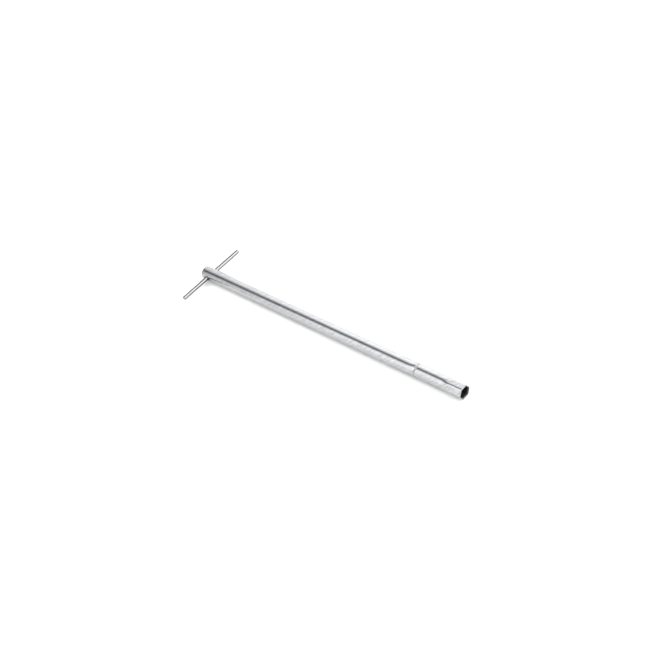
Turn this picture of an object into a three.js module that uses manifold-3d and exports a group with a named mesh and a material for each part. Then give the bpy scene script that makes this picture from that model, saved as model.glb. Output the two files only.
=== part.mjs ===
// A long tubular box spanner for the back-nuts of taps: a thin steel shank, a socket piece pressed to a
// hexagon at its mouth, and a loose tommy bar through two cross-holes near the other end.
// Millimetres. X runs along the tool towards the socket, Y along the tommy bar, Z up. The tool lies on z = 0.

import * as THREE from "three";
import { mergeVertices } from "three/addons/utils/BufferGeometryUtils.js";
import Module from "manifold-3d";

const wasm = await Module();
wasm.setup();

// ---- driving dimensions ----------------------------------------------------

const toolLength = 396;
const tubeRadius = 8;
const wall = 1.25;
const boreRadius = tubeRadius - wall;

const socketLength = 62; // from the joint ring to the rim
const jointGap = 0.3; // between the shank's cut end and the socket's shoulder
const jointBevel = 0.5; // on both sides of the joint, which shows as a fine groove
const spigotLength = 20; // the swaged neck, out of sight inside the shank
const spigotClearance = 0.15; // on the radius, filled with braze on the real tool
const neckTaper = 4; // length over which the socket's bore narrows to the spigot's

const nutFlats = 13; // across the flats of the nut that it turns
const nutClearance = 0.1; // across the flats
const hexLength = 18; // of the full hexagon
const hexTransition = 5; // from round tube to full hexagon
const innerCornerFillet = 0.5;
const outerCornerFillet = 4; // softer than inside, because the wall thins over the corners

const headChamfer = 0.7;
const rimChamfer = 0.3;
const leadIn = 0.35; // inside edge of the rim

const barRadius = 2.5;
const barLength = 96;
const barChamfer = 0.7;
const crossHoleRadius = 3.5; // a loose fit for the bar
const crossHoleFromHead = 9;

const aroundTube = 72; // segments round a tube or a hexagon
const aroundBar = 36;
const aroundHole = 36;

// ---- places worked out from them -------------------------------------------

const headX = -toolLength / 2;
const rimX = toolLength / 2;
const ringX = rimX - socketLength;
const barX = headX + crossHoleFromHead;

const innerApothem = (nutFlats + nutClearance) / 2;
const outerApothem = innerApothem + wall;
const spigotRadius = boreRadius - spigotClearance;
const spigotBore = spigotRadius - wall;

// ---- solids ----------------------------------------------------------------

// A closed three.js geometry as a manifold-3d solid.
function solid(geometry) {
  const bare = geometry.clone();
  bare.deleteAttribute("normal");
  bare.deleteAttribute("uv");
  const merged = mergeVertices(bare, 1e-4);
  return new wasm.Manifold(
    new wasm.Mesh({
      numProp: 3,
      vertProperties: merged.attributes.position.array,
      triVerts: new Uint32Array(merged.index.array),
    }),
  );
}

// A manifold-3d solid back as a three.js geometry.
function geometryOf(made) {
  const mesh = made.getMesh();
  const geometry = new THREE.BufferGeometry();
  geometry.setAttribute(
    "position",
    new THREE.BufferAttribute(mesh.vertProperties, mesh.numProp),
  );
  geometry.setIndex(new THREE.BufferAttribute(mesh.triVerts, 1));
  const flat = geometry.toNonIndexed();
  flat.computeVertexNormals();
  return flat;
}

// A round solid about the X axis. The stations are [x, radius] pairs from low x to high x.
function turned(stations, segments = aroundTube) {
  const first = stations[0];
  const last = stations[stations.length - 1];
  const profile = [
    new THREE.Vector2(0, first[0]),
    ...stations.map(([x, radius]) => new THREE.Vector2(radius, x)),
    new THREE.Vector2(0, last[0]),
  ];
  return new THREE.LatheGeometry(profile, segments).rotateZ(-Math.PI / 2);
}

// A round solid about the Y axis, made like the one above.
function turnedAcross(stations, segments) {
  return turned(stations, segments).rotateZ(Math.PI / 2);
}

// Distance from the axis to a hexagon with rounded corners, at an angle from one of its corners.
function hexRadius(angle, apothem, fillet) {
  const sector = Math.PI / 3;
  const fromCorner = Math.abs(angle - sector * Math.round(angle / sector));
  const filletCentre = (apothem - fillet) / Math.cos(sector / 2);
  const tangentAngle = Math.atan2(
    fillet * Math.sin(sector / 2),
    filletCentre + fillet * Math.cos(sector / 2),
  );
  if (fromCorner > tangentAngle)
    return apothem / Math.cos(sector / 2 - fromCorner);
  const across = filletCentre * Math.sin(fromCorner);
  return (
    filletCentre * Math.cos(fromCorner) +
    Math.sqrt(fillet * fillet - across * across)
  );
}

// Squeezes a turned solid's sections towards a hexagon with corners on the Y axis.
// share(x) is 0 where the section stays round and 1 where it is the full hexagon.
// grow(x) is added to the hexagon's size, so that chamfers keep their width round the corners.
function pressed(geometry, apothem, fillet, share, grow = () => 0) {
  const position = geometry.attributes.position;
  for (let i = 0; i < position.count; i++) {
    const x = position.getX(i);
    const y = position.getY(i);
    const z = position.getZ(i);
    const round = Math.hypot(y, z);
    if (round < 1e-6) continue;
    const angle = Math.atan2(z, y);
    const hex = hexRadius(angle, apothem + grow(x), fillet);
    const radius = THREE.MathUtils.lerp(round, hex, share(x));
    position.setY(i, radius * Math.cos(angle));
    position.setZ(i, radius * Math.sin(angle));
  }
  return geometry;
}

// ---- pieces ----------------------------------------------------------------

// The long drawn tube, cut square at the ring and chamfered at the head, with both cross-holes.
function shankTube() {
  const end = ringX - jointGap / 2;
  const outside = turned([
    [headX, tubeRadius - headChamfer],
    [headX + headChamfer, tubeRadius],
    [end - jointBevel, tubeRadius],
    [end, tubeRadius - jointBevel],
  ]);
  const bore = turned([
    [headX - 1, boreRadius],
    [end + 1, boreRadius],
  ]);
  const crossHole = turnedAcross(
    [
      [-tubeRadius - 1, crossHoleRadius],
      [tubeRadius + 1, crossHoleRadius],
    ],
    aroundHole,
  ).translate(barX, 0, 0);
  return solid(outside).subtract(solid(bore)).subtract(solid(crossHole));
}

// The socket piece: a swaged spigot, a round length and the pressed hexagon.
function socketPiece() {
  const shoulder = ringX + jointGap / 2;
  const spigotEnd = shoulder - spigotLength;
  const hexStart = rimX - hexLength;
  const pressStart = hexStart - hexTransition;
  const share = (x) => THREE.MathUtils.smoothstep(x, pressStart, hexStart);

  const pressSteps = 6;
  const pressStations = Array.from(
    { length: pressSteps + 1 },
    (_, i) => pressStart + (i / pressSteps) * hexTransition,
  );

  const outside = pressed(
    turned([
      [spigotEnd, spigotRadius - rimChamfer],
      [spigotEnd + rimChamfer, spigotRadius],
      [shoulder, spigotRadius],
      [shoulder, tubeRadius - jointBevel],
      [shoulder + jointBevel, tubeRadius],
      ...pressStations.map((x) => [x, tubeRadius]),
      [rimX - rimChamfer, tubeRadius],
      [rimX, tubeRadius],
    ]),
    outerApothem,
    outerCornerFillet,
    share,
    (x) => (x > rimX - rimChamfer / 2 ? -rimChamfer : 0),
  );

  const pastRim = 1;
  const inside = pressed(
    turned([
      [spigotEnd - 1, spigotBore],
      [shoulder, spigotBore],
      [shoulder + neckTaper, boreRadius],
      ...pressStations.map((x) => [x, boreRadius]),
      [rimX - leadIn, boreRadius],
      [rimX + pastRim, boreRadius],
    ]),
    innerApothem,
    innerCornerFillet,
    share,
    (x) => (x > rimX ? leadIn + pastRim : 0),
  );
  return solid(outside).subtract(solid(inside));
}

// The tommy bar, a plain round rod with chamfered ends.
function tommyBar() {
  const end = barLength / 2;
  return solid(
    turnedAcross(
      [
        [-end, barRadius - barChamfer],
        [-end + barChamfer, barRadius],
        [end - barChamfer, barRadius],
        [end, barRadius - barChamfer],
      ],
      aroundBar,
    ),
  );
}

// ---- the assembly ----------------------------------------------------------

function plated(colour, roughness) {
  return new THREE.MeshStandardMaterial({
    color: colour,
    roughness,
    metalness: 1,
  });
}

function piece(name, made, material) {
  const mesh = new THREE.Mesh(geometryOf(made), material);
  mesh.name = name;
  return mesh;
}

const tool = new THREE.Group();
tool.name = "tap_box_spanner";
tool.position.z = tubeRadius;

tool.add(piece("shank_tube", shankTube(), plated("#c9ccce", 0.2)));
tool.add(piece("hex_socket", socketPiece(), plated("#d2d4d5", 0.18)));

const bar = piece("tommy_bar", tommyBar(), plated("#c4c6c8", 0.22));
bar.position.x = barX;
tool.add(bar);

export default tool;
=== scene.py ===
# %% [markdown]
# # A tubular box spanner for tap back-nuts
#
# This file builds the looks of a very plain tool, in small steps. The tool is three pieces of bright plated
# steel: a long thin tube, a short tube pressed to a hexagon at its mouth, and a loose round bar that turns
# it. The engineering model is loaded first and is never moved. Everything made here is set out from its
# sizes, in metres, with X along the tool, Y along the bar and Z up.

import math

import bmesh
import bpy
from mathutils import Matrix, Vector


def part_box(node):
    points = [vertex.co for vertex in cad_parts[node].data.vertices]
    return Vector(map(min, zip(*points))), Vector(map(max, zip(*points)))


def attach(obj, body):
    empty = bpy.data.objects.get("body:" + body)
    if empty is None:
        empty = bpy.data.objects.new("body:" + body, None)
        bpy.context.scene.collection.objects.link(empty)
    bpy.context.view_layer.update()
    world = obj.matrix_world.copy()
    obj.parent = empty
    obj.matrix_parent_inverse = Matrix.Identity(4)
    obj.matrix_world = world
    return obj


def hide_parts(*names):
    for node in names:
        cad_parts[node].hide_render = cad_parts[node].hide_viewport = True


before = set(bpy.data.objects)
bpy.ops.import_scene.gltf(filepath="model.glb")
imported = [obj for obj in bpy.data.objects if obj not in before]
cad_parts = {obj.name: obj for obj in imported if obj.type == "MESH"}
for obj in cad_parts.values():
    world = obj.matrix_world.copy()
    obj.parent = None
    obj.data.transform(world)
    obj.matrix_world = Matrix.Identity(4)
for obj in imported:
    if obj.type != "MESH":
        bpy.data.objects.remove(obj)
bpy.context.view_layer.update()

# %% [markdown]
# ## Sizes
#
# The nodes' boxes give the length of each piece and where it starts and ends. A few workshop sizes, such as
# the wall of the tube or the radius on a cut edge, can't be read off a box, so they are named here in
# millimetres and turned to metres once.

# %% Read the main sizes and name the small ones
MM = 0.001

tube_low, tube_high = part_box("shank_tube")
socket_low, socket_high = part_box("hex_socket")
bar_low, bar_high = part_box("tommy_bar")

head_x = tube_low.x
tube_end_x = tube_high.x
rim_x = socket_high.x
axis_z = (tube_low.z + tube_high.z) / 2
tube_radius = (tube_high.z - tube_low.z) / 2
bar_x = (bar_low.x + bar_high.x) / 2
bar_radius = (bar_high.z - bar_low.z) / 2
bar_half = (bar_high.y - bar_low.y) / 2

wall = 1.25 * MM
bore_radius = tube_radius - wall
joint_gap = 0.3 * MM
joint_bevel = 0.5 * MM
ring_x = tube_end_x + joint_gap / 2
hole_radius = 3.5 * MM
print(f"tube {2 * tube_radius / MM:.1f} mm wide, ring at {ring_x / MM:.1f}, bar at {bar_x / MM:.1f}")

# %% [markdown]
# ## Camera
#
# The tool lies slantwise across the view with its socket towards us, seen from above and from the side of the
# bar's nearer end. A longish lens keeps the tube nearly parallel. The camera is set by an aim point, the two
# angles of the line of sight, a distance, and a roll about that line, because those are easy to note down and
# to set up again.

# %% Place the camera
aim = Vector((-0.0016, 0.0029, axis_z))
camera_turn = math.radians(-36.44)
camera_height = math.radians(42.41)
camera_roll = math.radians(-17.52)
camera_distance = 1.3533
lens_mm = 66.46


def unit(turn, height):
    """The direction at an angle turned from +X and raised above the floor."""
    level = math.cos(height)
    return Vector((level * math.cos(turn), level * math.sin(turn), math.sin(height)))


camera_data = bpy.data.cameras.new("camera")
camera_data.lens = lens_mm
camera = bpy.data.objects.new("camera", camera_data)
bpy.context.scene.collection.objects.link(camera)
back = unit(camera_turn, camera_height)
facing = back.to_track_quat("Z", "Y").to_matrix().to_4x4()
camera.matrix_world = (
    Matrix.Translation(aim + camera_distance * back)
    @ facing
    @ Matrix.Rotation(camera_roll, 4, "Z")
)
bpy.context.scene.camera = camera
print("camera at", [round(v, 3) for v in camera.matrix_world.translation])

# %% [markdown]
# ## Helpers
#
# Three small helpers carry the rest of the file: one turns a sRGB hex colour into the linear numbers that
# shaders use, one adds a node with its settings and its links, and one puts a finished mesh in the scene.

# %% Colour, node and object helpers


def colour(hex_code):
    """An sRGB hex colour as linear red, green, blue and alpha."""
    channels = [int(hex_code[i : i + 2], 16) / 255 for i in (1, 3, 5)]
    linear = [c / 12.92 if c <= 0.04045 else ((c + 0.055) / 1.055) ** 2.4 for c in channels]
    return (*linear, 1.0)


def add(tree, kind, inputs=None, **settings):
    """Adds a node. Settings are its properties; inputs gives sockets a value or another node's output."""
    made = tree.nodes.new(kind)
    for name, value in settings.items():
        setattr(made, name, value)
    for key, value in (inputs or {}).items():
        if isinstance(value, bpy.types.NodeSocket):
            tree.links.new(value, made.inputs[key])
        else:
            made.inputs[key].default_value = value
    return made


def show(name, mesh):
    """A new object at the origin that holds the mesh."""
    made = bpy.data.objects.new(name, mesh)
    bpy.context.scene.collection.objects.link(made)
    return made

# %% [markdown]
# ## Patterns in the finish
#
# Both tubes and the bar are bright chromed. Chrome is a thin hard mirror that follows whatever is under it,
# so it shows how the steel was made. Fine lines run along a drawn tube or rod. A polishing belt then leaves
# shallow marks that wind round it, and the length stays very slightly wavy. Handling adds hair scratches and
# smudges.
#
# A painted image could hold all that, but it would blur close up and would need unwrapping. Noise worked out
# from the place on the object has neither fault. One function makes a noise whose grains are longer along the
# steel than across it. Another turns the place round the steel as it runs along it, so that a noise read
# from it winds like a screw thread.

# %% Grain along the steel, and marks that wind round it
AXES = "XYZ"


def grain(tree, place, along, size_mm, times, detail):
    """Noise with grains of a size across the steel, and so many times longer along it."""
    scale = [1 / (size_mm * MM)] * 3
    scale[along] = scale[along] / times
    stretched = add(tree, "ShaderNodeMapping", {"Vector": place, "Scale": scale})
    return add(
        tree,
        "ShaderNodeTexNoise",
        {"Vector": stretched.outputs[0], "Scale": 1.0, "Detail": detail, "Roughness": 0.6},
    ).outputs["Fac"]


def wound(tree, place, along, centre, radius):
    """The place, turned round the steel's own axis by 45 degrees of lead as it runs along."""
    run = add(tree, "ShaderNodeSeparateXYZ", {0: place}).outputs[along]
    turn = add(tree, "ShaderNodeMath", {0: run, 1: 1 / radius}, operation="MULTIPLY").outputs[0]
    return add(
        tree,
        "ShaderNodeVectorRotate",
        {"Vector": place, "Center": centre, "Angle": turn},
        rotation_type=AXES[along] + "_AXIS",
    ).outputs[0]

# %% [markdown]
# Hair scratches are thin, long and bent, and they come in patches. The borders between the cells of a Voronoi
# pattern are thin lines already. Bending the place first takes away their straightness, and a slow noise
# keeps only those where it is high. A real hair scratch is finer than 0.15 mm and would not show.

# %% Hair scratches
BEND_SIZE = 11.1 * MM
BEND_SHARE = 0.012
CELL_SIZE = 8.33 * MM
HAIR_WIDTH = 0.15 * MM
PATCH_SIZE = 18.2 * MM
PATCH_EDGE = (0.52, 0.62)


def hair_scratches(tree, place):
    """1 on a scratch and 0 off it."""
    bend = add(tree, "ShaderNodeTexNoise", {"Vector": place, "Scale": 1 / BEND_SIZE, "Detail": 2.0})
    bent = add(
        tree,
        "ShaderNodeMix",
        {"Factor": BEND_SHARE, "A": place, "B": bend.outputs["Color"]},
        data_type="VECTOR",
    ).outputs["Result"]
    off_border = add(
        tree,
        "ShaderNodeTexVoronoi",
        {"Vector": bent, "Scale": 1 / CELL_SIZE},
        feature="DISTANCE_TO_EDGE",
    ).outputs["Distance"]
    hair = add(
        tree,
        "ShaderNodeMapRange",
        {"Value": off_border, "From Max": HAIR_WIDTH / CELL_SIZE, "To Min": 1.0, "To Max": 0.0},
    ).outputs["Result"]
    patches = add(tree, "ShaderNodeTexNoise", {"Vector": place, "Scale": 1 / PATCH_SIZE, "Detail": 3.0})
    kept = add(
        tree,
        "ShaderNodeMapRange",
        {"Value": patches.outputs["Fac"], "From Min": PATCH_EDGE[0], "From Max": PATCH_EDGE[1]},
    ).outputs["Result"]
    return add(tree, "ShaderNodeMath", {0: hair, 1: kept}, operation="MULTIPLY").outputs[0]

# %% [markdown]
# ## Bright chrome on polished steel
#
# A chromium mirror is darker than silver: it gives back about half of the light, very slightly cool. The bar
# has a darker copy of the same chrome: painted shade, which darkens the floor it shows along its edges. Where
# a belt has been, the colour dulls a little, which is what the eye reads as a used tool. The belt marks are
# drawn about twice as coarse as real ones, because finer ones would melt into an even grey.
#
# Two numbers are kept on each mesh for the finish. The first is 1 where chrome reached and falls to 0 down a
# bore, because plating doesn't throw into a deep hole and leaves dark scaly steel there; its near-black is
# also painted shade, down the bores and in and round the holes for the bar. `edge` is 1 on the rounded edges,
# where the finish is rubbed. The functions below get them and the noises in one dictionary.

# %% Colour of the chrome
CHROME = "#B0B1B3"
# the bar's chrome: a darker copy of the tube's chrome, painted shade on the floor it shows along its edges
SHADED_BAR_CHROME = "#7C7D7E"
RUBBED = "#9E9B98"
# near-black: dark scale on bare steel, and also painted shade down the bores and in the bar's holes
SCALE = "#0E0D0D"
RUB = 0.55
DULLEST = {"lines": 0.89, "belt": 0.72}
CLEANEST = 1.03
NOISE_SPAN = (0.3, 0.7)  # where most of a noise lies


def chrome_colour(tree, tone, patterns):
    """Chrome, warmer where rubbed, dulled by lines and belt marks, and near-black scale where bare, which
    also paints the shade in bores and holes.
    """
    rub = add(tree, "ShaderNodeMath", {0: patterns["edge"], 1: RUB}, operation="MULTIPLY").outputs[0]
    shade = add(
        tree,
        "ShaderNodeMix",
        {"Factor": rub, "A": colour(tone), "B": colour(RUBBED)},
        data_type="RGBA",
    ).outputs["Result"]
    for name, dullest in DULLEST.items():
        span = {"From Min": NOISE_SPAN[0], "From Max": NOISE_SPAN[1]}
        level = {"To Min": dullest, "To Max": CLEANEST}
        dulled = add(
            tree, "ShaderNodeMapRange", {"Value": patterns[name], **span, **level}
        ).outputs["Result"]
        shade = add(
            tree, "ShaderNodeVectorMath", {0: shade, "Scale": dulled}, operation="SCALE"
        ).outputs["Vector"]
    return add(
        tree,
        "ShaderNodeMix",
        {"Factor": patterns["plated"], "A": colour(SCALE), "B": shade},
        data_type="RGBA",
    ).outputs["Result"]

# %% [markdown]
# A polished mirror still scatters a little light where something has touched it. The roughness starts at the
# gloss of clean chrome, and each pattern adds its own share. Scale has no gloss at all.

# %% Roughness of the chrome
GLOSS = 0.03
ROUGHENING = {"lines": 0.08, "belt": 0.08, "smudges": 0.09, "scratches": 0.16, "edge": 0.10, "filed": 0.10}
SCALE_ROUGHNESS = 0.62


def chrome_roughness(tree, patterns):
    """The gloss with every pattern's share added, and dull where bare."""
    roughness = GLOSS
    for name, most in ROUGHENING.items():
        if name in patterns:
            roughness = add(
                tree,
                "ShaderNodeMath",
                {0: patterns[name], 1: most, 2: roughness},
                operation="MULTIPLY_ADD",
            ).outputs[0]
    return add(
        tree,
        "ShaderNodeMix",
        {"Factor": patterns["plated"], "A": SCALE_ROUGHNESS, "B": roughness},
        data_type="FLOAT",
    ).outputs["Result"]

# %% [markdown]
# A few micrometres are enough to bend what a mirror shows. They are far too small to model, so each pattern
# gives its height to a Bump node, and each Bump node starts from the normal of the one before. Scratches are
# cut in, so theirs is turned round.

# %% Height of the marks
MICROMETRE = 1e-6
HEIGHTS = {"waves": 12.0, "belt": 5.0, "lines": 3.0, "scratches": -2.0, "filing": 26.0}


def chrome_normal(tree, patterns):
    """The normal of the surface, from the patterns' heights in micrometres."""
    normal = None
    for name, height in HEIGHTS.items():
        if name not in patterns:
            continue
        sockets = {"Strength": 1.0, "Distance": abs(height) * MICROMETRE, "Height": patterns[name]}
        if normal:
            sockets["Normal"] = normal
        normal = add(tree, "ShaderNodeBump", sockets, invert=height < 0).outputs["Normal"]
    return normal

# %% [markdown]
# Heat and a file break the mirror near the brazed joint, over about three millimetres on each side. That zone
# is a pattern too: `filed` makes it duller, and `filing` adds small dents. The last function puts a whole
# finish together. Its metallic value is the plating share, because scale is an oxide and no metal; that also
# keeps the painted shade in bores and holes dull.

# %% The chromed finish
FILED_FROM = 1.0 * MM
FILED_TO = 3.2 * MM
DENT_MM = 1.1
SMUDGE_MM = 14.0


def filed_zone(tree, place, along, joint_x):
    """1 beside the joint, falling to 0 about three millimetres from it."""
    run = add(tree, "ShaderNodeSeparateXYZ", {0: place}).outputs[along]
    off = add(tree, "ShaderNodeMath", {0: run, 1: joint_x}, operation="SUBTRACT").outputs[0]
    away = add(tree, "ShaderNodeMath", {0: off}, operation="ABSOLUTE").outputs[0]
    return add(
        tree,
        "ShaderNodeMapRange",
        {"Value": away, "From Min": FILED_FROM, "From Max": FILED_TO, "To Min": 1.0, "To Max": 0.0},
    ).outputs["Result"]


def chromed(name, along, centre, radius, line_mm, belt_mm, wave_mm, tone=CHROME, joint_x=None):
    """Chrome over drawn and belt-polished steel. along is 0, 1 or 2 for steel drawn along X, Y or Z."""
    made = bpy.data.materials.new(name)
    made.use_nodes = True
    tree = made.node_tree
    tree.nodes.clear()
    place = add(tree, "ShaderNodeTexCoord").outputs["Object"]
    winding = wound(tree, place, along, centre, radius)
    patterns = {
        "lines": grain(tree, place, along, line_mm, times=160, detail=4.0),
        "belt": grain(tree, winding, along, belt_mm, times=6, detail=2.0),
        "waves": grain(tree, place, along, wave_mm, times=2.2, detail=1.0),
        "smudges": grain(tree, place, along, SMUDGE_MM, times=1.5, detail=4.0),
        "scratches": hair_scratches(tree, place),
        "plated": add(tree, "ShaderNodeAttribute", attribute_name="plated").outputs["Fac"],
        "edge": add(tree, "ShaderNodeAttribute", attribute_name="edge").outputs["Fac"],
    }
    if joint_x is not None:
        filed = filed_zone(tree, place, along, joint_x)
        dents = grain(tree, place, along, DENT_MM, times=0.7, detail=1.0)
        patterns["filed"] = filed
        patterns["filing"] = add(
            tree, "ShaderNodeMath", {0: filed, 1: dents}, operation="MULTIPLY"
        ).outputs[0]
    shader = add(
        tree,
        "ShaderNodeBsdfPrincipled",
        {
            "Base Color": chrome_colour(tree, tone, patterns),
            "Metallic": patterns["plated"],
            "Roughness": chrome_roughness(tree, patterns),
            "Normal": chrome_normal(tree, patterns),
        },
    )
    add(tree, "ShaderNodeOutputMaterial", {"Surface": shader.outputs[0]})
    return made


tube_centre = (0.0, 0.0, axis_z)
tube_finish = chromed(
    "bright_chrome_on_drawn_polished_tube", 0, tube_centre, tube_radius,
    line_mm=0.5, belt_mm=1.2, wave_mm=9, joint_x=ring_x,
)
socket_finish = chromed(
    "bright_chrome_on_pressed_tube", 0, tube_centre, tube_radius,
    line_mm=0.6, belt_mm=1.2, wave_mm=7, joint_x=ring_x,
)
# the bar takes the darker copy of the chrome, which paints shade into its reflections
bar_finish = chromed(
    "bright_chrome_on_drawn_rod", 1, (bar_x, 0.0, axis_z), bar_radius,
    line_mm=0.35, belt_mm=0.9, wave_mm=7, tone=SHADED_BAR_CHROME,
)
print("finishes:", [m.name for m in (tube_finish, socket_finish, bar_finish)])

# %% [markdown]
# ## Outlines with rounded corners
#
# A turned or formed piece starts as an outline: where the surface is along the tool, and how far from the
# axis. No real edge is a knife edge, so every corner of an outline carries its own radius, and one function
# puts an arc there. Long straights are divided, so that a later step has points to move.

# %% Rounding and dividing an outline
RUB_WIDTH = 0.4 * MM


def rounded(outline, closed, steps=5):
    """Points (x, radius, plated, edge) of an outline of (x, radius, corner radius, plated)."""
    count = len(outline)
    points = []
    for i, (x, y, corner, plated) in enumerate(outline):
        here = Vector((x, y))
        if corner == 0 or (not closed and i in (0, count - 1)):
            points.append((x, y, plated, 0.0))
            continue
        before = (Vector(outline[i - 1][:2]) - here).normalized()
        after = (Vector(outline[(i + 1) % count][:2]) - here).normalized()
        half = before.angle(after) / 2
        centre = here + (before + after).normalized() * corner / math.sin(half)
        start = here + before * corner / math.tan(half) - centre
        turn = start.angle_signed(here + after * corner / math.tan(half) - centre)
        for step in range(steps + 1):
            spoke = Matrix.Rotation(-turn * step / steps, 2) @ start
            points.append((*(centre + spoke), plated, 1.0))
    return points


def divided(points, closed, step_at):
    """The same outline with its long straights cut into steps. step_at(x) is the longest step allowed.
    The rub on an arc fades out along the straight beside it."""
    result = []
    pairs = list(zip(points, points[1:] + points[:1]))
    for a, b in pairs if closed else pairs[:-1]:
        result.append(a)
        length = math.dist(a[:2], b[:2])
        count = math.ceil(length / step_at((a[0] + b[0]) / 2))
        shares = {k / count for k in range(1, count)}
        if length > 2 * RUB_WIDTH:
            shares |= {RUB_WIDTH / length, 1 - RUB_WIDTH / length}
        for share in sorted(shares):
            x, radius, plated = (p + (q - p) * share for p, q in zip(a[:3], b[:3]))
            nearer = a if share < 0.5 else b
            off_arc = length * min(share, 1 - share)
            result.append((x, radius, plated, nearer[3] * max(0.0, 1 - off_arc / RUB_WIDTH)))
    return result if closed else result + [points[-1]]

# %% [markdown]
# ## A tree that turns and presses tube
#
# The socket starts as a plain tube. Its mouth is driven over a hexagon mandrel inside a hexagon die, so the
# wall keeps its thickness while the section changes from round to six flats over a few millimetres. The
# bar is turned too, with nothing pressed. One rule makes both, so it is written once, as Geometry Nodes:
# a grid is wrapped round the axis with one column for each point of the outline, and then every point slides
# in or out to where the hexagon is, by a share that rises along the tool. Rows are crowded at the six
# corners, where the surface bends most.

# %% The tree and its inputs
CORNER = math.radians(60)

turning = bpy.data.node_groups.new("turned_and_pressed", "GeometryNodeTree")
turning.interface.new_socket("Outline", in_out="INPUT", socket_type="NodeSocketGeometry")
for label, kind in (
    ("Points", "NodeSocketInt"),
    ("Columns", "NodeSocketInt"),
    ("Rows", "NodeSocketInt"),
    ("Crowding", "NodeSocketFloat"),
    ("Bore radius", "NodeSocketFloat"),
    ("Half the flats", "NodeSocketFloat"),
    ("Inner corner", "NodeSocketFloat"),
    ("Corner growth", "NodeSocketFloat"),
    ("Press from", "NodeSocketFloat"),
    ("Press to", "NodeSocketFloat"),
    ("Finish", "NodeSocketMaterial"),
):
    turning.interface.new_socket(label, in_out="INPUT", socket_type=kind)
turning.interface.new_socket("Piece", in_out="OUTPUT", socket_type="NodeSocketGeometry")

given = add(turning, "NodeGroupInput").outputs

# %% The grid, and which column and row each of its points is in
around = add(turning, "ShaderNodeMath", {0: given["Rows"], 1: 1.0}, operation="ADD").outputs[0]
grid = add(
    turning,
    "GeometryNodeMeshGrid",
    {"Size X": 1.0, "Size Y": 1.0, "Vertices X": given["Columns"], "Vertices Y": around},
).outputs["Mesh"]
index = add(turning, "GeometryNodeInputIndex").outputs[0]
ratio = add(turning, "ShaderNodeMath", {0: index, 1: around}, operation="DIVIDE").outputs[0]
column = add(turning, "ShaderNodeMath", {0: ratio}, operation="FLOOR").outputs[0]
row = add(turning, "ShaderNodeMath", {0: index, 1: around}, operation="MODULO").outputs[0]
point = add(
    turning, "ShaderNodeMath", {0: column, 1: given["Points"]}, operation="MODULO"
).outputs[0]

# %% What the outline says there
outline_place = add(turning, "GeometryNodeInputPosition").outputs[0]
sampled = add(
    turning,
    "GeometryNodeSampleIndex",
    {"Geometry": given["Outline"], "Value": outline_place, "Index": point},
    data_type="FLOAT_VECTOR",
).outputs["Value"]
split = add(turning, "ShaderNodeSeparateXYZ", {0: sampled}).outputs
along, radius = split["X"], split["Y"]

# %% [markdown]
# An even turn v puts the rows at equal angles. Taking away crowding * sin(6 v) / 6 draws them towards the six
# corners and leaves the corners and the middles of the flats where they are.

# %% The angle round the axis, with rows crowded at the corners
turn_share = add(
    turning, "ShaderNodeMath", {0: row, 1: given["Rows"]}, operation="DIVIDE"
).outputs[0]
even = add(
    turning, "ShaderNodeMath", {0: turn_share, 1: 2 * math.pi}, operation="MULTIPLY"
).outputs[0]
six = add(turning, "ShaderNodeMath", {0: even, 1: 6.0}, operation="MULTIPLY").outputs[0]
swing = add(turning, "ShaderNodeMath", {0: six}, operation="SINE").outputs[0]
pull = add(
    turning, "ShaderNodeMath", {0: given["Crowding"], 1: -1 / 6}, operation="MULTIPLY"
).outputs[0]
angle = add(
    turning, "ShaderNodeMath", {0: swing, 1: pull, 2: even}, operation="MULTIPLY_ADD"
).outputs[0]

# %% [markdown]
# A hexagon with rounded corners has two kinds of place. On a flat, the distance from the axis is half the
# width across the flats, divided by the cosine of the angle to the middle of the flat. On a corner it is
# where a line from the axis meets the corner's circle. The angle at which the circle touches the flat says
# which of the two holds. The corners get rounder from the bore outwards, because the wall thins over them.

# %% How big the hexagon is at this depth in the wall
off_corner = add(
    turning, "ShaderNodeMath", {0: angle, 1: CORNER / 2}, operation="PINGPONG"
).outputs[0]
depth = add(
    turning, "ShaderNodeMath", {0: radius, 1: given["Bore radius"]}, operation="SUBTRACT"
).outputs[0]
half_flats = add(
    turning, "ShaderNodeMath", {0: given["Half the flats"], 1: depth}, operation="ADD"
).outputs[0]
corner_radius = add(
    turning,
    "ShaderNodeMath",
    {0: depth, 1: given["Corner growth"], 2: given["Inner corner"]},
    operation="MULTIPLY_ADD",
).outputs[0]

# %% Its radius on a flat
to_flat = add(
    turning, "ShaderNodeMath", {0: CORNER / 2, 1: off_corner}, operation="SUBTRACT"
).outputs[0]
to_flat_cosine = add(turning, "ShaderNodeMath", {0: to_flat}, operation="COSINE").outputs[0]
flat_radius = add(
    turning, "ShaderNodeMath", {0: half_flats, 1: to_flat_cosine}, operation="DIVIDE"
).outputs[0]

# %% Its radius on a corner
centre_inset = add(
    turning, "ShaderNodeMath", {0: half_flats, 1: corner_radius}, operation="SUBTRACT"
).outputs[0]
centre = add(
    turning,
    "ShaderNodeMath",
    {0: centre_inset, 1: 1 / math.cos(CORNER / 2)},
    operation="MULTIPLY",
).outputs[0]
sine = add(turning, "ShaderNodeMath", {0: off_corner}, operation="SINE").outputs[0]
cosine = add(turning, "ShaderNodeMath", {0: off_corner}, operation="COSINE").outputs[0]
across = add(turning, "ShaderNodeMath", {0: centre, 1: sine}, operation="MULTIPLY").outputs[0]
across_squared = add(
    turning, "ShaderNodeMath", {0: across, 1: across}, operation="MULTIPLY"
).outputs[0]
corner_squared = add(
    turning, "ShaderNodeMath", {0: corner_radius, 1: corner_radius}, operation="MULTIPLY"
).outputs[0]
left_over = add(
    turning, "ShaderNodeMath", {0: corner_squared, 1: across_squared}, operation="SUBTRACT"
).outputs[0]
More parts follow.
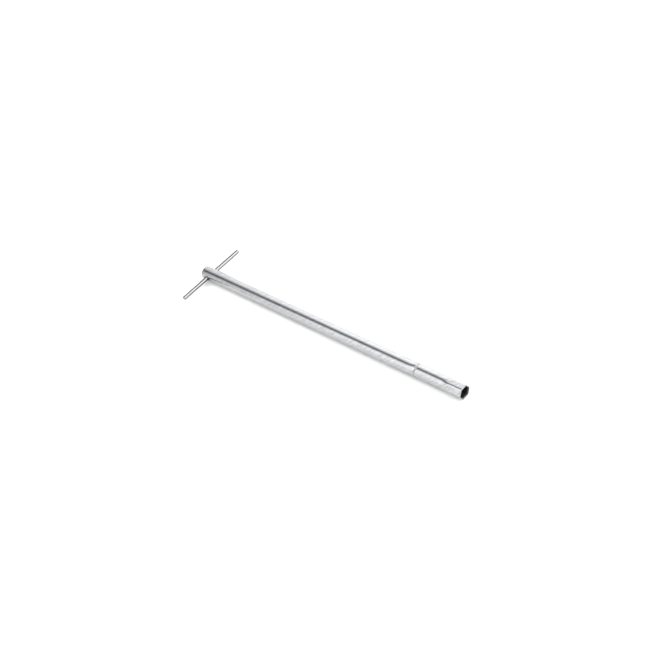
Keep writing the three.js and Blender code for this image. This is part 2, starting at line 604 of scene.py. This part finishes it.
bulge = add(turning, "ShaderNodeMath", {0: left_over}, operation="SQRT").outputs[0]
arc_radius = add(
    turning, "ShaderNodeMath", {0: centre, 1: cosine, 2: bulge}, operation="MULTIPLY_ADD"
).outputs[0]

# %% Which of the two holds
tangent_rise = add(
    turning,
    "ShaderNodeMath",
    {0: corner_radius, 1: math.sin(CORNER / 2)},
    operation="MULTIPLY",
).outputs[0]
tangent_run = add(
    turning,
    "ShaderNodeMath",
    {0: corner_radius, 1: math.cos(CORNER / 2), 2: centre},
    operation="MULTIPLY_ADD",
).outputs[0]
tangent = add(
    turning, "ShaderNodeMath", {0: tangent_rise, 1: tangent_run}, operation="ARCTAN2"
).outputs[0]
at_corner = add(
    turning, "ShaderNodeMath", {0: off_corner, 1: tangent}, operation="LESS_THAN"
).outputs[0]
hexagon = add(
    turning,
    "ShaderNodeMix",
    {"Factor": at_corner, "A": flat_radius, "B": arc_radius},
    data_type="FLOAT",
).outputs["Result"]

# %% How far the press has gone, then the point's place
share = add(
    turning,
    "ShaderNodeMapRange",
    {"Value": along, "From Min": given["Press from"], "From Max": given["Press to"]},
    interpolation_type="SMOOTHSTEP",
).outputs["Result"]
pressed = add(
    turning,
    "ShaderNodeMix",
    {"Factor": share, "A": radius, "B": hexagon},
    data_type="FLOAT",
).outputs["Result"]
angle_cosine = add(turning, "ShaderNodeMath", {0: angle}, operation="COSINE").outputs[0]
angle_sine = add(turning, "ShaderNodeMath", {0: angle}, operation="SINE").outputs[0]
across_y = add(
    turning, "ShaderNodeMath", {0: pressed, 1: angle_cosine}, operation="MULTIPLY"
).outputs[0]
across_z = add(
    turning, "ShaderNodeMath", {0: pressed, 1: angle_sine}, operation="MULTIPLY"
).outputs[0]
place = add(
    turning, "ShaderNodeCombineXYZ", {"X": along, "Y": across_y, "Z": across_z}
).outputs[0]

# %% Carry the finish numbers over, move the points, close the seams, and name the material
piece = grid
for label in ("plated", "edge"):
    value = add(
        turning, "GeometryNodeInputNamedAttribute", {"Name": label}, data_type="FLOAT"
    ).outputs["Attribute"]
    carried = add(
        turning,
        "GeometryNodeSampleIndex",
        {"Geometry": given["Outline"], "Value": value, "Index": point},
        data_type="FLOAT",
    ).outputs["Value"]
    piece = add(
        turning,
        "GeometryNodeStoreNamedAttribute",
        {"Geometry": piece, "Name": label, "Value": carried},
        data_type="FLOAT",
        domain="POINT",
    ).outputs["Geometry"]
piece = add(
    turning, "GeometryNodeSetPosition", {"Geometry": piece, "Position": place}
).outputs["Geometry"]
piece = add(
    turning, "GeometryNodeMergeByDistance", {"Geometry": piece, "Distance": 1e-6}
).outputs["Geometry"]
piece = add(turning, "GeometryNodeSetShadeSmooth", {"Geometry": piece}).outputs["Geometry"]
piece = add(turning, "GeometryNodeRealizeInstances", {"Geometry": piece}).outputs["Geometry"]
piece = add(
    turning, "GeometryNodeSetMaterial", {"Geometry": piece, "Material": given["Finish"]}
).outputs["Geometry"]
add(turning, "NodeGroupOutput", {"Piece": piece})
print("turning tree:", len(turning.nodes), "nodes")

# %% [markdown]
# ## Running the tree
#
# The outline goes in as a mesh of loose points. The modifier's inputs are set before the object is first
# looked at, and the evaluated result is copied to a plain mesh, so that nothing is left to compute later.
# A wrapped grid can come out with its faces turned inwards, so they are made to agree at the end.

# %% Turn one outline into a piece


def faces_out(mesh):
    """Makes all the faces of a closed mesh point outwards."""
    work = bmesh.new()
    work.from_mesh(mesh)
    bmesh.ops.recalc_face_normals(work, faces=work.faces)
    if work.calc_volume(signed=True) < 0:
        bmesh.ops.reverse_faces(work, faces=work.faces)
    work.to_mesh(mesh)
    work.free()
    mesh.update()


def turned(name, points, closed, rows, finish, **sizes):
    """A piece about the X axis, from outline points. sizes are the tree's inputs, with _ for spaces."""
    outline = bpy.data.meshes.new(name + "_outline")
    outline.from_pydata([(x, y, 0) for x, y, _, _ in points], [], [])
    for slot, label in ((2, "plated"), (3, "edge")):
        layer = outline.attributes.new(label, "FLOAT", "POINT")
        layer.data.foreach_set("value", [p[slot] for p in points])
    source = show(name + "_source", outline)
    modifier = source.modifiers.new("turn", "NODES")
    modifier.node_group = turning
    values = {
        "Points": len(points),
        "Columns": len(points) + (1 if closed else 0),
        "Rows": rows,
        "Finish": finish,
    }
    values.update({key.replace("_", " ").capitalize(): v for key, v in sizes.items()})
    for item in turning.interface.items_tree:
        if item.name in values:
            modifier[item.identifier] = values[item.name]
    graph = bpy.context.evaluated_depsgraph_get()
    mesh = bpy.data.meshes.new_from_object(source.evaluated_get(graph), depsgraph=graph)
    bpy.data.objects.remove(source)
    mesh.name = name
    faces_out(mesh)
    print(f"{name}: {len(mesh.vertices)} points, {len(mesh.polygons)} faces")
    return mesh


# %% [markdown]
# ## The socket
#
# Its outline runs up the outside from the hidden neck to the rim and back down the bore. The neck is squeezed
# smaller to slip inside the long tube. The rim has a small radius outside and a wider one inside, which leads
# the nut in. Chrome reaches a few millimetres down the mouth and then gives way to dark scale, painted
# near-black to stand for the shade down the bore.

# %% Sizes and outline of the socket
neck_clearance = 0.15 * MM
neck_taper = 4 * MM
hex_length = 18 * MM
press_length = 5 * MM
nut_flats = 13 * MM
nut_clearance = 0.1 * MM
inner_corner = 0.5 * MM
outer_corner = 4 * MM
chrome_reach = 2.2 * MM
bare = 0.0
thin = 0.5
full = 1.0

neck_start = socket_low.x
shoulder = ring_x + joint_gap / 2
neck_radius = bore_radius - neck_clearance
neck_bore = neck_radius - wall
hex_from = rim_x - hex_length
press_from = hex_from - press_length
hexagon_sizes = {
    "bore_radius": bore_radius,
    "half_the_flats": (nut_flats + nut_clearance) / 2,
    "inner_corner": inner_corner,
    "corner_growth": (outer_corner - inner_corner) / wall,
}

socket_outline = [
    (neck_start, neck_bore, 0.2 * MM, bare),
    (neck_start, neck_radius, 0.3 * MM, bare),
    (shoulder, neck_radius, 0.0, bare),
    (shoulder, tube_radius - joint_bevel, 0.06 * MM, thin),
    (shoulder + joint_bevel, tube_radius, 0.25 * MM, full),
    (rim_x, tube_radius, 0.32 * MM, full),
    (rim_x, bore_radius, 0.35 * MM, full),
    # from here down the bore the colour is near-black scale, partly painted shade
    (rim_x - chrome_reach, bore_radius, 0.0, bare),
    (shoulder + neck_taper, bore_radius, 0.8 * MM, bare),
    (shoulder, neck_bore, 0.8 * MM, bare),
]
print(f"socket: hexagon for {hex_length / MM:.0f} mm, pressed over {press_length / MM:.0f} mm")

# %% Make the socket
LONG_STEP = 3 * MM
SHORT_STEP = 0.2 * MM
PAST_BEND = 0.5 * MM


def socket_step(x):
    """Short steps where the press bends the wall, long ones elsewhere."""
    bent = press_from - PAST_BEND < x < hex_from + PAST_BEND
    return SHORT_STEP if bent else LONG_STEP


socket_mesh = turned(
    "socket_pressed",
    divided(rounded(socket_outline, closed=True), True, socket_step),
    closed=True,
    rows=240,
    finish=socket_finish,
    crowding=0.72,
    press_from=press_from,
    press_to=hex_from,
    **hexagon_sizes,
)
socket_mesh.transform(Matrix.Translation((0, 0, axis_z)))
socket = show("socket_pressed", socket_mesh)
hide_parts("hex_socket")
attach(socket, "spanner")

# %% [markdown]
# ## The tommy bar
#
# A length of round rod, cut off square and chamfered at both ends so that it starts easily in the holes. It
# is turned by the same tree about X and then laid along Y. The press is set to start a metre away, past any
# piece, so that it never touches the bar. The bar stays loose: it belongs to its own body and slides.

# %% Make the bar
bar_chamfer = 0.7 * MM
never_pressed = {"crowding": 0.0, "press_from": 1.0, "press_to": 2.0, **hexagon_sizes}
bar_outline = [
    (-bar_half, 0.0, 0.0, full),
    (-bar_half, bar_radius - bar_chamfer, 0.15 * MM, full),
    (-bar_half + bar_chamfer, bar_radius, 0.3 * MM, full),
    (bar_half - bar_chamfer, bar_radius, 0.3 * MM, full),
    (bar_half, bar_radius - bar_chamfer, 0.15 * MM, full),
    (bar_half, 0.0, 0.0, full),
]
bar_mesh = turned(
    "bar_rod",
    divided(rounded(bar_outline, closed=False), False, lambda x: LONG_STEP),
    closed=False,
    rows=96,
    finish=bar_finish,
    **never_pressed,
)
bar_mesh.transform(
    Matrix.Translation((bar_x, 0, axis_z)) @ Matrix.Rotation(math.pi / 2, 4, "Z")
)
bar = show("bar_rod", bar_mesh)
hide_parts("tommy_bar")
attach(bar, "tommy_bar")

# %% [markdown]
# ## The long tube and its cross-holes
#
# The tube is plain except at the head, where two holes face each other for the bar. A boolean cut would do,
# but it leaves thin triangles round the hole, and a mirror finish shows every one as a dent. So the wall's
# points are placed one by one. Round each hole a rectangle of the regular grid is left open, and rings of
# points pass from that rectangle to the rim of the hole, all of them on the true cylinder. The rings then
# turn over a small radius, go down through the wall, and come out in the same way inside.

# %% Lay out the wall round the holes
ROWS = 144
patch_rows = 14  # half the height of the rectangle left open, in rows
patch_columns = 28
patch_half = 5.6 * MM
patch_rings = 8
ring_easing = 0.8  # below 1, so that the rings crowd towards the hole
row_angles = [2 * math.pi * j / ROWS for j in range(ROWS)]
quarter = [math.radians(15 * k) for k in range(1, 7)]  # the steps of a rounded edge


def circle(work, x, radius):
    """A ring of points about the axis."""
    return [
        work.verts.new((x, radius * math.cos(a), radius * math.sin(a))) for a in row_angles
    ]


def stitch(work, first, second):
    """Faces between two closed rings of the same length."""
    for j, point in enumerate(first):
        k = (j + 1) % len(first)
        work.faces.new((point, first[k], second[k], second[j]))


def carried_on(work, ring, places):
    """Rings at (x, radius) places, each stitched to the one before, from a ring that is already there."""
    for x, radius in places:
        following = circle(work, x, radius)
        stitch(work, ring, following)
        ring = following
    return ring


def border(grid, middle_row, left, right):
    """The points round the rectangle left open, in order."""
    rows = [(middle_row + j) % ROWS for j in range(-patch_rows, patch_rows + 1)]
    columns = list(range(left, right + 1))
    return (
        [grid[i][rows[0]] for i in columns[:-1]]
        + [grid[right][j] for j in rows[:-1]]
        + [grid[i][rows[-1]] for i in reversed(columns[1:])]
        + [grid[left][j] for j in reversed(rows[1:])]
    )


def holed_cylinder(work, radius, columns, left, right, edge_radius):
    """A cylinder's skin with both rectangles filled by rings round a hole. It returns its two end rings,
    and for each side of the tube the hole's ring with the angle of each of its points round the hole."""
    grid = [circle(work, x, radius) for x in columns]
    middles = (0, ROWS // 2)
    for i in range(len(columns) - 1):
        for j in range(ROWS):
            beside_hole = any(
                left <= i < right and (j - m + patch_rows) % ROWS < 2 * patch_rows
                for m in middles
            )
            if not beside_hole:
                k = (j + 1) % ROWS
                work.faces.new((grid[i][j], grid[i][k], grid[i + 1][k], grid[i + 1][j]))
    holes = []
    for side, middle in zip((1, -1), middles):
        outer = border(grid, middle, left, right)
        turns = [math.atan2(p.co.z, p.co.x - bar_x) for p in outer]
        previous = outer
        for ring in range(1, patch_rings + 1):
            share = (ring / patch_rings) ** ring_easing
            current = []
            for p, turn in zip(outer, turns):
                x = p.co.x + (bar_x + edge_radius * math.cos(turn) - p.co.x) * share
                z = p.co.z + (edge_radius * math.sin(turn) - p.co.z) * share
                current.append(work.verts.new((x, side * math.sqrt(radius**2 - z**2), z)))
            stitch(work, previous, current)
            previous = current
        holes.append((side, previous, turns))
    return grid[0], grid[-1], holes


def wall_of_hole(work, side, outer, outer_turns, inner, inner_turns, outer_edge, inner_edge):
    """Rings that turn over the outer edge, go down through the wall and turn out inside."""
    path = [
        (hole_radius + outer_edge * (1 - math.sin(b)), outer_edge * (1 - math.cos(b)))
        for b in quarter
    ]
    path += [
        (hole_radius + inner_edge * (1 - math.cos(b)), wall - inner_edge * (1 - math.sin(b)))
        for b in [0.0] + quarter[:-1]
    ]
    previous = outer
    for hole_r, depth in path:
        current = []
        for a, b in zip(outer_turns, inner_turns):
            swing = (b - a + math.pi) % (2 * math.pi) - math.pi
            turn = a + swing * depth / wall
            z = hole_r * math.sin(turn)
            y = side * math.sqrt((tube_radius - depth) ** 2 - z**2)
            current.append(work.verts.new((bar_x + hole_r * math.cos(turn), y, z)))
        stitch(work, previous, current)
        previous = current
    stitch(work, previous, inner)


# %% [markdown]
# The head end is cut square and filed round on its outer edge, and only just broken inside. The other end
# keeps the small bevel that makes one side of the joint's groove.

# %% Sizes and columns of the tube
head_round = 0.7 * MM
head_inside = 0.3 * MM
head_columns = 3
head_column = 0.9 * MM
shank_columns = 40
hole_outer_edge = 0.14 * MM
hole_inner_edge = 0.12 * MM
bevel_steps = ((0.12, 0.02), (0.88, 0.82), (1.0, 1.0))  # shares along and down, soft at both corners

columns = [head_x + head_round + k * head_column for k in range(head_columns)]
left = len(columns)
columns += [
    bar_x - patch_half + 2 * patch_half * k / patch_columns for k in range(patch_columns + 1)
]
right = len(columns) - 1
stretch = tube_end_x - joint_bevel - columns[right]
columns += [columns[right] + stretch * k / shank_columns for k in range(1, shank_columns + 1)]
print(f"columns: {len(columns)}, of which {patch_columns} run past the holes")

# %% Lay out the tube
work = bmesh.new()
outer_head, outer_end, outer_holes = holed_cylinder(
    work, tube_radius, columns, left, right, hole_radius + hole_outer_edge
)
inner_head, inner_end, inner_holes = holed_cylinder(
    work, bore_radius, columns, left, right, hole_radius + hole_inner_edge
)
for (side, outer, outer_turns), (_, inner, inner_turns) in zip(outer_holes, inner_holes):
    wall_of_hole(
        work, side, outer, outer_turns, inner, inner_turns, hole_outer_edge, hole_inner_edge
    )

head_edges = [
    (head_x + head_round * (1 - math.sin(b)), tube_radius - head_round * (1 - math.cos(b)))
    for b in quarter
]
head_edges += [
    (head_x + head_inside * (1 - math.cos(b)), bore_radius + head_inside * (1 - math.sin(b)))
    for b in [0.0] + quarter
]
stitch(work, carried_on(work, outer_head, head_edges), inner_head)

end_edges = [
    (tube_end_x - joint_bevel * (1 - along_it), tube_radius - joint_bevel * down)
    for along_it, down in bevel_steps
]
end_edges.append((tube_end_x, bore_radius))
stitch(work, carried_on(work, outer_end, end_edges), inner_end)
print(f"tube laid out: {len(work.verts)} points")

# %% [markdown]
# The tube's finish numbers depend on the place. Chrome reaches a few millimetres into the head end and then
# gives way to near-black scale, partly painted shade down the bore. Down the wall of each hole it falls to
# near-black, and on the skin round each hole's rim it fades in from near-black over a narrow ring: painted
# shade, standing for the shade in the holes beside the bar. The rims of the holes, where the bar knocks, and
# the filed head end count as edges.

# %% Mark the tube's chrome, painted shade and edges, and put it in place
mouth_chrome = 0.8
chrome_fades = 3 * MM
shaded_rim_chrome = 0.10
shade_ring_width = 0.7 * MM
hole_rub = 0.6 * MM
head_rub = 0.9 * MM
inside_skin = 0.999  # as a share of the wall

plated_layer = work.verts.layers.float.new("plated")
edge_layer = work.verts.layers.float.new("edge")
for vertex in work.verts:
    x, y, z = vertex.co
    below_skin = (tube_radius - math.hypot(y, z)) / wall
    from_hole = math.hypot(x - bar_x, z) - hole_radius
    if below_skin > inside_skin:
        vertex[plated_layer] = mouth_chrome * max(0.0, 1 - (x - head_x) / chrome_fades)
    # in the hole's wall: near-black, painted shade
    elif from_hole < hole_inner_edge:
        vertex[plated_layer] = max(0.0, shaded_rim_chrome - below_skin)
    # on the skin: near-black at the hole's rim, fading out over a ring of painted shade
    else:
        vertex[plated_layer] = min(1.0, shaded_rim_chrome + (1 - shaded_rim_chrome) * from_hole / shade_ring_width)
    at_hole = max(0.0, 1 - abs(from_hole) / hole_rub)
    at_head = max(0.0, 1 - (x - head_x) / head_rub)
    vertex[edge_layer] = max(at_hole, at_head)

for face in work.faces:
    face.smooth = True
bmesh.ops.translate(work, verts=work.verts, vec=(0, 0, axis_z))
tube_mesh = bpy.data.meshes.new("shank_drawn")
work.to_mesh(tube_mesh)
work.free()
tube_mesh.materials.append(tube_finish)
faces_out(tube_mesh)
tube = show("shank_drawn", tube_mesh)
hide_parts("shank_tube")
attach(tube, "spanner")
print(f"tube: {len(tube_mesh.vertices)} points, {len(tube_mesh.polygons)} faces")

# %% [markdown]
# ## The brazed joint
#
# Where tube and socket meet there is a fine groove with a little braze at the bottom. It is drawn as a ring
# with a hollow top, sunk below the surface, so that the groove catches the light as a hairline.

# %% Make the braze in the groove
braze_clearance = 0.02 * MM
braze_sink = 0.2 * MM
braze_foot = joint_gap / 2 - braze_clearance
braze_top = braze_foot + joint_bevel - braze_sink
braze_inside = neck_radius + braze_clearance
braze_hollow = 0.25 * MM
braze_outline = [
    (ring_x - braze_foot, braze_inside, 0.0, full),
    (ring_x - braze_foot, tube_radius - joint_bevel, 0.0, full),
    (ring_x - braze_top, tube_radius - braze_sink, 0.0, full),
    (ring_x, tube_radius - 2 * braze_sink, braze_hollow, full),
    (ring_x + braze_top, tube_radius - braze_sink, 0.0, full),
    (ring_x + braze_foot, tube_radius - joint_bevel, 0.0, full),
    (ring_x + braze_foot, braze_inside, 0.0, full),
]
braze_mesh = turned(
    "braze_ring",
    rounded(braze_outline, closed=True),
    closed=True,
    rows=ROWS,
    finish=socket_finish,
    **never_pressed,
)
braze_mesh.transform(Matrix.Translation((0, 0, axis_z)))
braze = show("braze_ring", braze_mesh)
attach(braze, "spanner")

# %% [markdown]
# ## Floor and light
#
# Chrome has no look of its own: it shows the room. A bright tool on white needs something dark to draw its
# shape, and studios leave a dark gap between the lights for that. Here the room is a soft pale tent with two
# wide windows of light, low on opposite sides. Each has a dark frame, which the tube shows as a line along
# its top, one to a viewer on this side and one to a viewer behind. A soft box high on the socket's side gives
# the bar its bright middle. A lamp over the cloth, nearly overhead, keeps the tool's shadow faint, and the
# tent is dark past the head end of the tool. It is the world and not a set of lamps, so it has no hard edges
# and adds no grain. The floor is plain pale card.

# %% Lay the floor
half_floor = 6.0
corners = [(-1, -1), (1, -1), (1, 1), (-1, 1)]
floor_mesh = bpy.data.meshes.new("floor")
floor_mesh.from_pydata([(half_floor * x, half_floor * y, 0) for x, y in corners], [], [(0, 1, 2, 3)])
floor = show("floor", floor_mesh)
card = bpy.data.materials.new("pale_card")
card.use_nodes = True
card_shader = card.node_tree.nodes["Principled BSDF"]
card_shader.inputs["Base Color"].default_value = colour("#F4F4F3")
card_shader.inputs["Roughness"].default_value = 0.9
floor_mesh.materials.append(card)
print("floor:", 2 * half_floor, "m wide")

# %% [markdown]
# Each part of the tent has a direction, and stops that say how bright the cloth is. A stop's first number
# runs from 0, facing straight away from that direction, to 1, facing straight towards it. Its second number
# is the brightness, and the parts are multiplied together. A window is a bright disc with a dark ring round
# it. A camera that looks straight at the tent sees plain white instead.

# %% Light the room
brightness = 1.36
head_window = (
    (-0.861, 0.498, 0.102),
    [(0.0, 1.15), (0.60, 1.25), (0.655, 1.18), (0.685, 0.68), (0.735, 0.18), (0.78, 0.20), (0.855, 0.98),
     (0.915, 1.50)],
)
opposite_window = ((0.70, -0.70, 0.14), [(0.70, 1.0), (0.735, 0.12), (0.80, 0.12), (0.86, 0.85)])
soft_box = ((0.70, 0.40, 0.59), [(0.0, 1.0), (0.93, 0.95), (0.965, 3.2)])
lamp_over_cloth = ((0.15, -0.35, 0.925), [(0.885, 1.0), (0.94, 1.65)])
dark_past_head = (
    (1.0, 0.0, 0.0),
    [(0.11, 0.06), (0.135, 0.25), (0.165, 0.80), (0.21, 1.02), (0.26, 1.12), (0.55, 1.1), (0.75, 0.95)],
)
bright_high_up = ((0.0, 0.0, 1.0), [(0.5, 1.0), (0.62, 1.16), (0.75, 1.3), (0.87, 1.3), (1.0, 1.0)])
tent_parts = (head_window, opposite_window, soft_box, lamp_over_cloth, dark_past_head, bright_high_up)

world = bpy.data.worlds.new("tent")
bpy.context.scene.world = world
world.use_nodes = True
room = world.node_tree
room.nodes.clear()
looking = add(room, "ShaderNodeTexCoord").outputs["Generated"]
tent = (1.0, 1.0, 1.0)
for way, stops in tent_parts:
    toward = add(
        room, "ShaderNodeVectorMath", {0: looking, 1: way}, operation="DOT_PRODUCT"
    ).outputs["Value"]
    along_ramp = add(room, "ShaderNodeMapRange", {"Value": toward, "From Min": -1.0})
    grey = add(room, "ShaderNodeValToRGB", {"Fac": along_ramp.outputs["Result"]})
    ramp = grey.color_ramp
    ramp.interpolation = "EASE"
    while len(ramp.elements) < len(stops):
        ramp.elements.new(0.5)
    for element, (position, level) in zip(ramp.elements, stops):
        element.position = position
        element.color = (level, level, level, 1)
    tent = add(
        room, "ShaderNodeVectorMath", {0: tent, 1: grey.outputs["Color"]}, operation="MULTIPLY"
    ).outputs["Vector"]
seen = add(room, "ShaderNodeLightPath").outputs["Is Camera Ray"]
shown = add(
    room,
    "ShaderNodeMix",
    {"Factor": seen, "A": tent, "B": (*[1 / brightness] * 3, 1.0)},
    data_type="RGBA",
).outputs["Result"]
tent_light = add(room, "ShaderNodeBackground", {"Color": shown, "Strength": brightness})
add(room, "ShaderNodeOutputWorld", {"Surface": tent_light.outputs[0]})
bpy.context.scene.view_settings.view_transform = "Standard"
print("tent lit:", len(room.nodes), "nodes")
